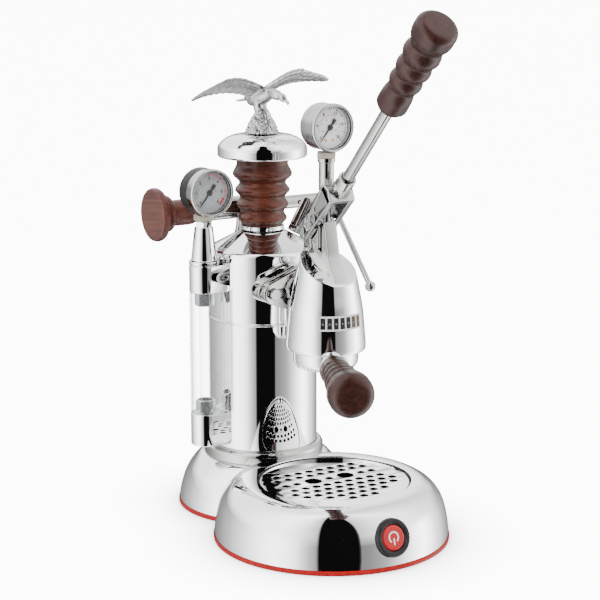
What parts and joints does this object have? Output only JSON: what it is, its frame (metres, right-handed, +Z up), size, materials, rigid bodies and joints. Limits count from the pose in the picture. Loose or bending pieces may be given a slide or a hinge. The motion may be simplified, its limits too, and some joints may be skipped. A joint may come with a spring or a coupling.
{
  "type": "lever espresso machine",
  "caption": "Chrome lever espresso machine with upright boiler, sight glass, dial gauges, steam wand, eagle cap and dark wooden grips.",
  "frame": {"origin": "on the table under the middle of the whole machine", "axes": "+Z up, -Y towards the user (the drip tray and lever side), +X to the right of someone facing the front"},
  "size_m": [0.2, 0.3476, 0.4472],
  "materials": {
    "polished_chrome": "mirror-polished chrome plate",
    "satin_metal": "satin cast and turned metal",
    "stainless_steel": "plain stainless steel",
    "nickelled_brass": "pale nickelled brass",
    "dark_wood": "dark reddish-brown turned wood, satin lacquer",
    "black_plastic": "fine-grained black",
    "seal_rubber": "black seal",
    "red_rubber": "red trim",
    "red_plastic": null,
    "boiler_dial": null,
    "group_dial": "white dial with black ticks and a red inner scale",
    "black_paint": "matt black",
    "clear_glass": "clear",
    "clear_plastic": "clear plastic shield",
    "thermometer_film": "silver film with dark temperature cells"
  },
  "bodies": {
    "machine": {"base_shell": "polished_chrome", "base_trim": "red_rubber", "base_plate": "stainless_steel", "switch_housing": "black_plastic", "cord_gland": "black_plastic", "boiler_base_ring": "polished_chrome", "boiler_shell": "polished_chrome", "heating_element": "stainless_steel", "sight_block_lower": "polished_chrome", "sight_block_upper": "polished_chrome", "sight_nut_lower": "polished_chrome", "sight_nut_upper": "polished_chrome", "sight_tube": "clear_glass", "sight_cover": "clear_plastic", "gauge_riser": "polished_chrome", "boiler_gauge_adapter": "nickelled_brass", "boiler_gauge_case": "black_plastic", "boiler_gauge_bezel": "polished_chrome", "boiler_gauge_dial": "boiler_dial", "boiler_gauge_lens": "clear_glass", "steam_valve_body": "polished_chrome", "safety_valve": "polished_chrome", "group_mount": "polished_chrome", "group_gasket": "seal_rubber", "group_body": "polished_chrome", "group_bolt_left": "stainless_steel", "group_bolt_right": "stainless_steel", "cylinder_sleeve": "stainless_steel", "shower_screen": "stainless_steel", "fulcrum_pin": "stainless_steel", "thermometer_strip": "thermometer_film"},
    "tray": {"drip_tray": "black_plastic"},
    "grille": {"drip_grille": "polished_chrome"},
    "button": {"power_button": "red_plastic"},
    "cap_seal": {"cap_gasket": "seal_rubber"},
    "cap": {"cap_plug": "polished_chrome", "cap_grip": "dark_wood", "cap_disc": "polished_chrome", "eagle_finial": "satin_metal"},
    "boiler_needle": {"boiler_gauge_needle": "black_paint"},
    "steam_tap": {"steam_knob": "dark_wood", "steam_spindle": "stainless_steel"},
    "wand": {"steam_wand": "polished_chrome"},
    "piston": {"piston": "nickelled_brass", "piston_rod": "stainless_steel", "piston_pin": "stainless_steel", "gauge_stem": "polished_chrome", "group_gauge_adapter": "nickelled_brass", "group_gauge_case": "satin_metal", "group_gauge_bezel": "satin_metal", "group_gauge_dial": "group_dial", "group_gauge_lens": "clear_glass"},
    "group_needle": {"group_gauge_needle": "black_paint"},
    "lever": {"lever_fork": "polished_chrome", "lever_rod": "polished_chrome", "lever_grip": "dark_wood"},
    "portafilter": {"portafilter_body": "polished_chrome", "filter_basket": "stainless_steel", "portafilter_ferrule": "polished_chrome", "portafilter_handle": "dark_wood"}
  },
  "joints": [
    {"name": "lever_hinge", "type": "hinge", "parent": "machine", "child": "lever", "pos_m": [0, 0.0095, 0.2585], "axis": [1, 0, 0], "range_deg": [0, 66]},
    {"name": "piston_slide", "type": "slide", "parent": "machine", "child": "piston", "axis": [0, 0, -1], "range_m": [0, 0.0232]},
    {"name": "group_needle_turn", "type": "hinge", "parent": "piston", "child": "group_needle", "pos_m": [0, -0.0191, 0.346], "axis": [0, 1, 0], "range_deg": [0, 270], "stiffness_Nm_per_rad": 0.001},
    {"name": "boiler_needle_turn", "type": "hinge", "parent": "machine", "child": "boiler_needle", "pos_m": [-0.0616, 0.073, 0.2853], "axis": [0, 1, 0], "range_deg": [0, 270], "stiffness_Nm_per_rad": 0.001},
    {"name": "portafilter_turn", "type": "hinge", "parent": "machine", "child": "portafilter", "pos_m": [0, -0.0075, 0.1526], "axis": [0, 0, 1], "range_deg": [-40, 23]},
    {"name": "cap_lift", "type": "slide", "parent": "machine", "child": "cap_seal", "axis": [0, 0, 1], "range_m": [0, 0.1]},
    {"name": "cap_turn", "type": "hinge", "parent": "cap_seal", "child": "cap", "pos_m": [0, 0.0965, 0.25], "axis": [0, 0, 1], "continuous": true},
    {"name": "steam_knob_turn", "type": "hinge", "parent": "machine", "child": "steam_tap", "pos_m": [-0.09, 0.132, 0.261], "axis": [-1, 0, 0], "range_deg": [0, 450]},
    {"name": "steam_wand_swivel", "type": "hinge", "parent": "machine", "child": "wand", "pos_m": [0.0925, 0.132, 0.261], "axis": [1, 0, 0], "range_deg": [-45, 45]},
    {"name": "button_press", "type": "slide", "parent": "machine", "child": "button", "axis": [0, 0.9511, -0.309], "range_m": [0, 0.0025], "stiffness_N_per_m": 400},
    {"name": "tray_lift", "type": "slide", "parent": "machine", "child": "tray", "axis": [0, 0, 1], "range_m": [0, 0.045]},
    {"name": "grille_lift", "type": "slide", "parent": "tray", "child": "grille", "axis": [0, 0, 1], "range_m": [0, 0.04]}
  ],
  "couplings": [
    {"joint": "piston_slide", "follows": "lever_hinge", "m_per_rad": 0.02}
  ]
}
